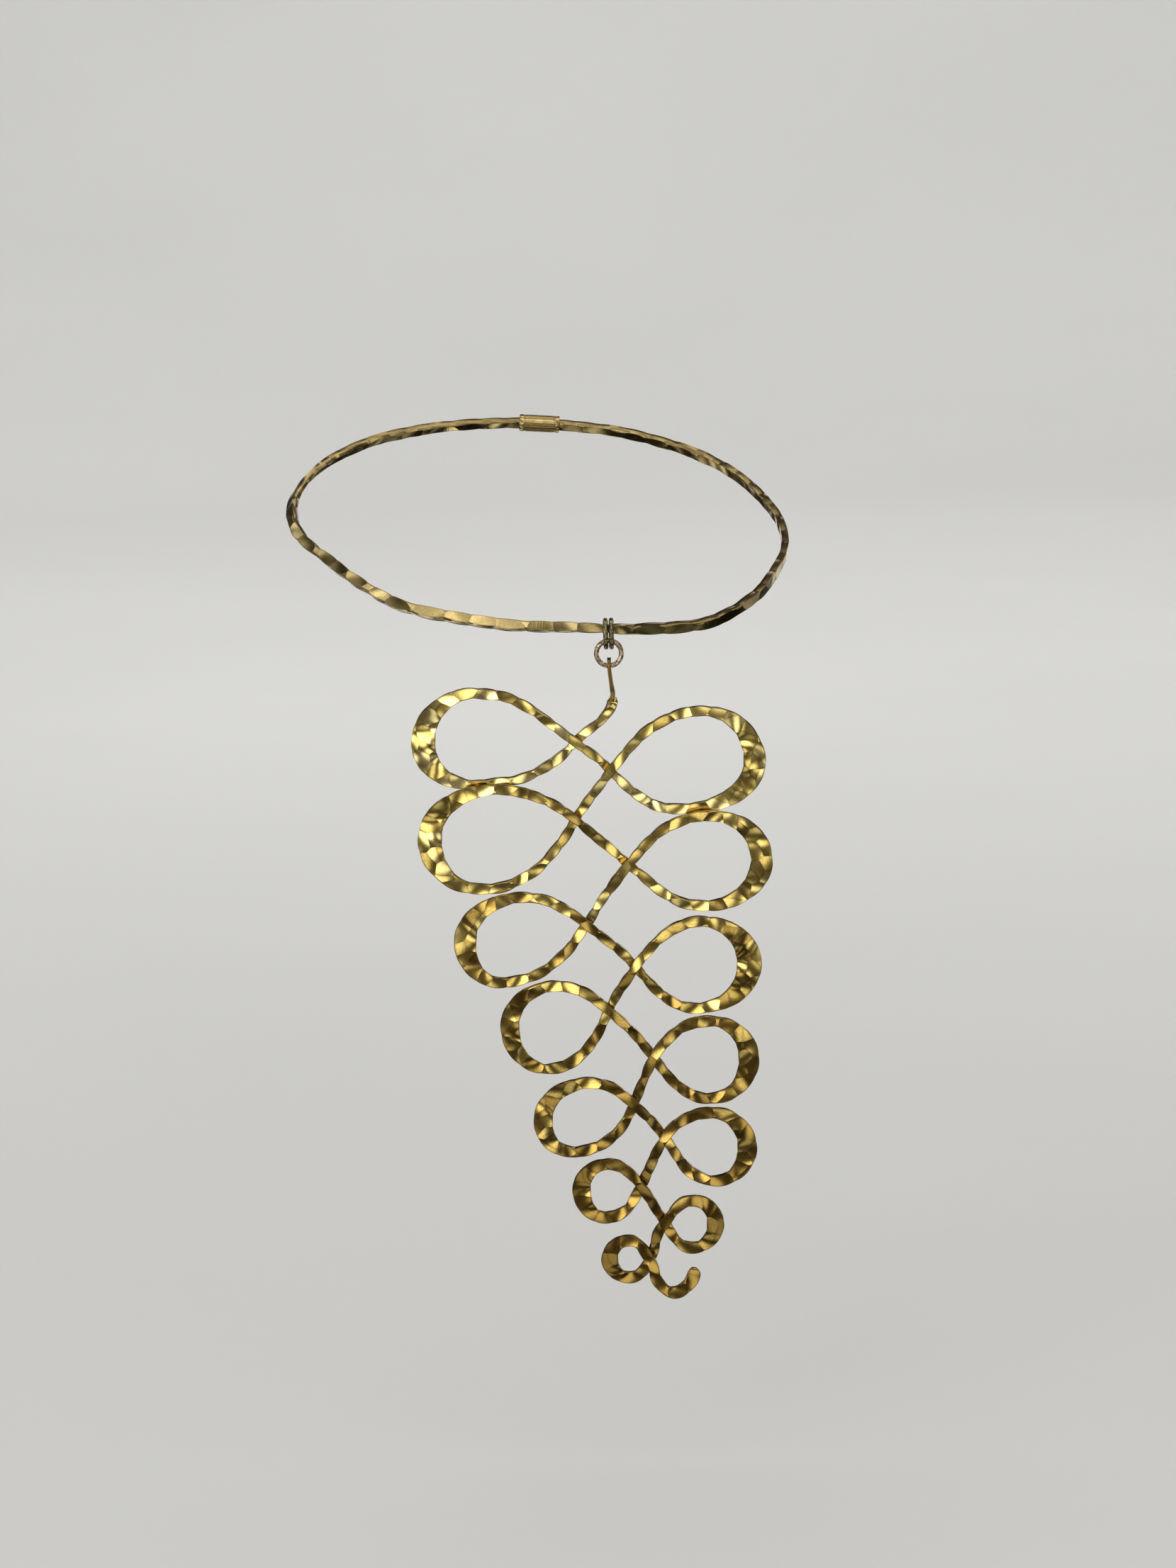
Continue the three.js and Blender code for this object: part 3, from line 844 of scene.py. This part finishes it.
def revolve_ring(name, outside, seam_deg, centre, axes, seed):
    """A ring bent by hand from round wire, with the hairline seam where its ends meet."""
    phase = np.random.default_rng(seed).uniform(0, 2 * math.pi, 4)
    major = (outside - SMALL_WIRE) / 2
    lip = SEAM_GAP / major / 2
    angles = math.radians(seam_deg) + np.linspace(lip, 2 * math.pi - lip, RING_STEPS)
    from_end = np.minimum(np.arange(RING_STEPS), np.arange(RING_STEPS)[::-1])
    shares = np.interp(from_end, (0, 1, 2), RING_END_SHARES)
    section = np.linspace(0, 2 * math.pi, RING_SIDES, endpoint=False)
    right, up, out = (np.array(axis, float) for axis in axes)
    points = []
    for angle, share in zip(angles, shares):
        radius = SMALL_WIRE / 2 * share * (1 + UNEVEN_WIRE * math.sin(3 * angle + phase[0]))
        bend = major + OVAL * math.sin(2 * angle + phase[1])
        sway = SWAY[0] * math.sin(angle + phase[2]) + SWAY[1] * math.sin(3 * angle + phase[3])
        marked = math.sin(PLIER_MARKS * angle + phase[0]) > PLIER_MARK_FROM
        radial = right * math.cos(angle) + up * math.sin(angle)
        for turn in section:
            here = radius * (1 - PLIER_MARK * abs(math.cos(2 * turn)) * marked)
            offset = radial * (bend + here * math.cos(turn))
            points.append((centre + offset + out * (sway + here * math.sin(turn))) * MM)
    grid = np.arange(RING_STEPS * RING_SIDES).reshape(RING_STEPS, RING_SIDES)
    turned = np.roll(grid, -1, axis=1)
    quads = np.stack([grid[:-1], grid[1:], turned[1:], turned[:-1]], axis=-1).reshape(-1, 4)
    faces = quads.tolist() + [grid[0].tolist(), grid[-1][::-1].tolist()]
    return outward(new_piece(name, [tuple(point) for point in points], faces))


def outward(piece):
    """Turns the faces outwards if the mesh's volume comes out negative."""
    mesh = piece.data
    mesh.calc_loop_triangles()
    co = np.array([v.co for v in mesh.vertices])
    tris = np.array([t.vertices[:] for t in mesh.loop_triangles])
    a, b, c = co[tris[:, 0]], co[tris[:, 1]], co[tris[:, 2]]
    if np.einsum("ij,ij->", a - co[0], np.cross(b - co[0], c - co[0])) < 0:
        mesh.flip_normals()
    return piece


def revolve(name, profile, sides, centre, axis):
    """A closed profile of (radius, place along the axis) turned about an axis."""
    axis = unit(np.array(axis, float))
    side = unit(np.cross(axis, [0, 0, 1]))
    up = np.cross(axis, side)
    points, faces = [], []
    count = len(profile)
    for step in range(sides):
        angle = 2 * math.pi * step / sides
        radial = side * math.cos(angle) + up * math.sin(angle)
        points += [(centre + radial * r + axis * x) * MM for r, x in profile]
    for step in range(sides):
        here, there = step * count, (step + 1) % sides * count
        for i in range(count):
            j = (i + 1) % count
            faces.append((here + i, here + j, there + j, there + i))
    return outward(new_piece(name, [tuple(point) for point in points], faces))


DRILL_SIDES = 40


def drill(piece, centre):
    """Drills the tab through sideways, with a small countersink on both sides."""
    bore, lip, reach, half, core = HOLE_DIAMETER / 2, 0.16, 3, 0.4, 0.0001
    profile = [
        (core, -reach), (bore + lip, -reach), (bore + lip, -half), (bore, -half + lip),
        (bore, half - lip), (bore + lip, half), (bore + lip, reach), (core, reach),
    ]
    cutter = revolve("drill", profile, DRILL_SIDES, centre, (1, 0, 0))
    cut = piece.modifiers.new("hole", "BOOLEAN")
    cut.operation = "DIFFERENCE"
    cut.object = cutter
    cut.solver = "MANIFOLD"
    graph = bpy.context.evaluated_depsgraph_get()
    done = bpy.data.meshes.new_from_object(piece.evaluated_get(graph))
    piece.modifiers.clear()
    piece.data = done
    bpy.data.objects.remove(cutter)


# How a wire is struck, in millimetres and slopes. Where it is wider than two_rows and three_rows,
# more blows lie abreast and have the end_ values. A dish is how fast a blow's face curves, and
# proud is how far the section stands out before it is struck.
STRAND_STYLE = {
    "spacing": 5.6, "tilt_across": 0.16, "most_change": 0.13, "tilt_along": 0.04, "dish": 0.017,
    "depth": 0.06, "two_rows": 3.9, "three_rows": 5.6, "end_tilts": (0.035, 0.035),
    "end_dish": 0.014, "end_depth": 0.06, "bulge": 1.9, "waist": -0.04, "proud": 0.12,
    "row_step": 0.45, "twist": 0.055, "twist_lengths": (11, 15, 23), "bend": 0.055,
    "bend_lengths": (12, 16, 25),
}
NECK_STYLE = {
    **STRAND_STYLE, "spacing": 8.0, "tilt_across": 0.12, "dish": 0.012, "depth": 0.07,
    "bulge": 1.6, "waist": -0.03, "proud": 0.1, "row_step": 0.5, "twist": 0.04, "bend": 0.02,
}

# The darker stretch of the neck ring's front, from left to right.
NECK_DARKER_STRETCH = (19.5, 64.0)
TAB_REACH = 14
WIRE_SHARP_DEG, RING_SHARP_DEG, CLASP_SHARP_DEG = 70, 40, 30
CLASP_SIDES = 72

link_low, link_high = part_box("jump_ring")
hang = (np.array(link_low) + np.array(link_high)) / 2 / MM + [0, 0, JUMP_DROP]

pendant = hammered_wire(
    "scrolled_pendant", pendant_path(), STRAND_STYLE, 11, offset=hang, skip=TAB_REACH
)
outward(pendant)
drill(pendant, hang - [0, 0, HOLE_DROP])
smooth(pendant, WIRE_SHARP_DEG)
pendant_brass = hammered_brass(
    "hammered pendant brass",
    pale=(0.94, 0.81, 0.39),
    gold=(0.87, 0.68, 0.2),
    dark=(0.36, 0.235, 0.055),
    edge=(0.17, 0.1, 0.032),
    # How strongly painted shade darkens the lower loops.
    foot_dark=0.92,
    tarnish=0.28,
    rough=(0.09, 0.2),
    marks=(1, 14, 0.08),
)
dress(pendant, "drop", ["pendant"], pendant_brass)

neck = hammered_wire("hammered_neck_ring", neck_path(), NECK_STYLE, 23, darker_stretch=NECK_DARKER_STRETCH)
outward(neck)
smooth(neck, WIRE_SHARP_DEG)
neck_brass = hammered_brass(
    "hammered neck brass",
    pale=(0.54, 0.43, 0.2),
    gold=(0.37, 0.28, 0.115),
    dark=(0.17, 0.145, 0.055),
    edge=(0.26, 0.19, 0.075),
    foot_dark=0.5,
    tarnish=0.40,
    rough=(0.1, 0.24),
    marks=(1.6, 0.2, 1.0),
)
dress(neck, "neck_ring", ["neck_wire"], neck_brass)

bail_brass = drawn_brass(
    "tarnished bail brass", (0.46, 0.38, 0.2), (0.1, 0.085, 0.045), (0.07, 0.18), 0.5
)
ring_brass = drawn_brass(
    "jump ring brass", (0.7, 0.56, 0.38), (0.28, 0.21, 0.12), (0.06, 0.16), 0.45
)
bail_axes = (0, 1, 0), (0, 0, 1), (1, 0, 0)
jump_axes = (1, 0, 0), (0, 0, 1), (0, 1, 0)
for name, seam, seed in (("bail_ring_left", 62, 31), ("bail_ring_right", 78, 37)):
    low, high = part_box(name)
    place = (np.array(low) + np.array(high)) / 2 / MM
    bail = revolve_ring(f"tarnished_{name}", BAIL_OUTSIDE, seam, place, bail_axes, seed)
    smooth(bail, RING_SHARP_DEG)
    dress(bail, "bail", [name], bail_brass)

place = hang - [0, 0, JUMP_DROP]
jump = revolve_ring("round_jump_ring", JUMP_OUTSIDE, 152, place, jump_axes, 41)
smooth(jump, RING_SHARP_DEG)
dress(jump, "link", ["jump_ring"], ring_brass)

clasp_low, clasp_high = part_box("clasp")
nape = (np.array(clasp_low) + np.array(clasp_high)) / 2 / MM
line = neck_line()
clasp_axis = neck_turn() @ (line[1] - line[-2])
half, bore, radius = CLASP_LENGTH / 2, CLASP_BORE / 2, CLASP_DIAMETER / 2
chamfer, ease, groove = 0.35, 0.2, 0.12
# One end of the sleeve, from its bore to past its turned groove: radius, distance from the end.
clasp_end = [
    (bore, ease), (bore + ease, 0), (radius - chamfer, 0), (radius - 0.1, 0.1), (radius, chamfer),
    (radius, 1.4), (radius - groove, 1.5), (radius - groove, 1.7), (radius, 1.8),
]
clasp_profile = [(r, inset - half) for r, inset in clasp_end]
clasp_profile += [(r, half - inset) for r, inset in reversed(clasp_end)]
clasp = revolve("clasp_sleeve", clasp_profile, CLASP_SIDES, nape, clasp_axis)
smooth(clasp, CLASP_SHARP_DEG)
clasp_brass = drawn_brass(
    "clasp brass", (0.62, 0.47, 0.2), (0.3, 0.22, 0.09), (0.14, 0.28), 0.5
)
dress(clasp, "neck_ring", ["clasp"], clasp_brass)

# ---- Stage ----

FLOOR_Z = -0.26
FLOOR_RADIUS, FLOOR_RIM, WALL_RISE = 2.4, 1.2, 1.0
FLOOR_INNERMOST = 0.02
FLOOR_RINGS, RIM_RINGS, FLOOR_SIDES = 40, 20, 96


def bowl_floor(name, material):
    """A round floor, curving up at its rim into a low wall."""
    shares = np.linspace(FLOOR_INNERMOST, 1, FLOOR_RINGS)
    profile = [(FLOOR_RADIUS * share, FLOOR_Z) for share in shares]
    for turn in np.linspace(0, math.pi / 2, RIM_RINGS)[1:]:
        out, up = FLOOR_RIM * math.sin(turn), FLOOR_RIM * (1 - math.cos(turn))
        profile.append((FLOOR_RADIUS + out, FLOOR_Z + up))
    profile.append((FLOOR_RADIUS + FLOOR_RIM, FLOOR_Z + FLOOR_RIM + WALL_RISE))
    points, faces = [], []
    count = len(profile)
    for step in range(FLOOR_SIDES):
        angle = 2 * math.pi * step / FLOOR_SIDES
        points += [(r * math.cos(angle), r * math.sin(angle), h) for r, h in profile]
        here, there = step * count, (step + 1) % FLOOR_SIDES * count
        faces += [(here + i, here + i + 1, there + i + 1, there + i) for i in range(count - 1)]
    faces.append(tuple(step * count for step in range(FLOOR_SIDES)))
    piece = new_piece(name, points, faces)
    piece.data.polygons.foreach_set("use_smooth", [True] * len(piece.data.polygons))
    piece.data.materials.append(material)
    return piece


ground = bowl_floor("pale_floor", pale_ground("pale floor"))
ground.visible_glossy = False

# Place, aim, size and power of each lamp that lights the scene without showing in the brass.
CHOKER = (0.02, -0.05, -0.1)
SOFTBOXES = [
    ("key", (-0.9, -1.3, 0.9), CHOKER, (1.0, 1.0), 5),
    ("fill", (1.1, -0.9, 0.6), CHOKER, (0.8, 0.8), 1.5),
    ("overhead", (0.0, 0.3, 1.5), CHOKER, (1.6, 1.6), 2),
    ("wall", (0.0, 0.8, 1.6), (0.0, 3.5, 0.6), (1.6, 1.0), 16),
]
for name, place, aim, size, watts in SOFTBOXES:
    light = bpy.data.lights.new(name, "AREA")
    light.shape = "RECTANGLE"
    light.size, light.size_y = size
    light.energy = watts
    holder = bpy.data.objects.new(name, light)
    holder.location = place
    holder.rotation_mode = "QUATERNION"
    holder.rotation_quaternion = (Vector(aim) - Vector(place)).to_track_quat("-Z", "Y")
    holder.visible_camera = False
    holder.visible_glossy = False
    bpy.context.scene.collection.objects.link(holder)

# What the brass mirrors: a room of patches between dark and bright, dimmer below, with a few soft
# round lamps in front. Beside and behind, each patch has a lamp at its middle. A lamp's azimuth
# runs from the front to the right, with its elevation, radius and soft edge in degrees, and its
# brightness. Everything but the mirrored light comes from one even brightness.
ROOM_PATCHES = 3.3
ROOM_DARKEST = 0.014
ROOM_RANGE = 9.0
ROOM_GAIN = [(-90, 0.25), (-35, 0.35), (-14, 0.8), (10, 1.2), (45, 0.9), (90, 0.7)]
LAMPS = [
    (-12, -3, 7, 4, 3.1),
    (10, -19, 5, 4, 1.6),
    (15, 4, 5, 4, 1.7),
    (-20, -24, 4, 4, 1.17),
    (-38, 10, 9, 6, 1.8),
    (33, -12, 6, 5, 0.8),
    (2, 22, 7, 5, 1.62),
    (-4, -42, 5, 5, 0.72),
    (38, 24, 9, 6, 0.6),
    (-45, -20, 6, 5, 0.81),
    (-68, 18, 12, 8, 1.26),
    (66, -6, 6, 5, 0.8),
    (30, -42, 5, 5, 0.45),
    (-20, 50, 12, 8, 0.9),
    (124, -8, 8, 6, 0.8),
    (158, -4, 9, 7, 0.8),
    (0, 82, 30, 16, 0.6),
]
AMBIENT = 0.72
FRONT = (0, -12)
FRONT_RADIUS_DEG, FRONT_SOFT_DEG = 36, 10
SPOT_CORE, SPOT_EDGE, SPOT_BRIGHTNESS = 0.3, 0.48, 3.4
ROOM_COLOUR = (1.0, 0.8, 0.58)
LAMP_COLOUR = (1.0, 0.99, 0.97)


def studio_world():
    world = bpy.data.worlds.new("studio")
    bpy.context.scene.world = world
    world.use_nodes = True
    world.cycles.sampling_method = "NONE"
    n = Nodes(world.node_tree)
    where = n.add("ShaderNodeTexCoord"), "Generated"
    patches = n.add("ShaderNodeTexVoronoi", Scale=ROOM_PATCHES)
    n.link(*where, patches, "Vector")
    split = n.add("ShaderNodeSeparateColor")
    n.link(patches, "Color", split, "Color")
    room = n.math("MULTIPLY", n.math("POWER", ROOM_RANGE, (split, "Red")), ROOM_DARKEST)

    height = n.add("ShaderNodeSeparateXYZ")
    n.link(*where, height, "Vector")
    stops = [
        (0.5 + 0.5 * math.sin(math.radians(elevation)), (share / 2, share / 2, share / 2))
        for elevation, share in ROOM_GAIN
    ]
    half_gain = n.ramp(n.math("MULTIPLY_ADD", (height, "Z"), 0.5, 0.5), stops)
    room = n.math("MULTIPLY", n.math("MULTIPLY", room, half_gain), 2)

    spots = n.map_range(
        (patches, "Distance"), SPOT_EDGE, SPOT_CORE, 0, SPOT_BRIGHTNESS, "SMOOTHSTEP"
    )
    front = n.cap(where, FRONT, FRONT_RADIUS_DEG, FRONT_SOFT_DEG, 1)
    lamps = n.math("MULTIPLY", spots, (split, "Green"))
    lamps = n.math("MULTIPLY", lamps, n.math("SUBTRACT", 1, front))
    for azimuth, elevation, *lamp in LAMPS:
        lamps = n.math("ADD", lamps, n.cap(where, (azimuth, elevation), *lamp))

    mirrored = n.add("ShaderNodeLightPath"), "Is Glossy Ray"
    plain = n.math("MULTIPLY", n.math("SUBTRACT", 1, mirrored), AMBIENT)
    room = n.math("MULTIPLY", mirrored, room)
    lamps = n.math("MULTIPLY_ADD", mirrored, lamps, plain)
    both = n.add("ShaderNodeAddShader")
    for socket, (strength, colour) in enumerate(((room, ROOM_COLOUR), (lamps, LAMP_COLOUR))):
        background = n.add("ShaderNodeBackground", Color=(*colour, 1))
        n.link(*strength, background, "Strength")
        n.link(background, "Background", both, socket)
    n.link(both, "Shader", n.add("ShaderNodeOutputWorld"), "Surface")


studio_world()
bpy.context.scene.view_settings.view_transform = "Standard"

# ---- Camera ----

CAMERA_PLACE = (0.0121, -0.9866, 0.1159)
CAMERA_DOWN_DEG = 11
CAMERA_ROLL_DEG = 1.3
CAMERA_LENS = 80


def place_camera():
    down, roll = math.radians(CAMERA_DOWN_DEG), math.radians(CAMERA_ROLL_DEG)
    forward = np.array([0, math.cos(down), -math.sin(down)])
    level, rise = np.array([1.0, 0, 0]), np.array([0, math.sin(down), math.cos(down)])
    up = level * math.sin(roll) + rise * math.cos(roll)
    right = np.cross(forward, up)
    data = bpy.data.cameras.new("camera")
    data.lens = CAMERA_LENS
    data.clip_start = 0.05
    data.clip_end = 50
    holder = bpy.data.objects.new("camera", data)
    matrix = np.eye(4)
    matrix[:3] = np.column_stack([right, up, -forward, CAMERA_PLACE])
    holder.matrix_world = Matrix(matrix.tolist())
    bpy.context.scene.collection.objects.link(holder)
    bpy.context.scene.camera = holder


place_camera()
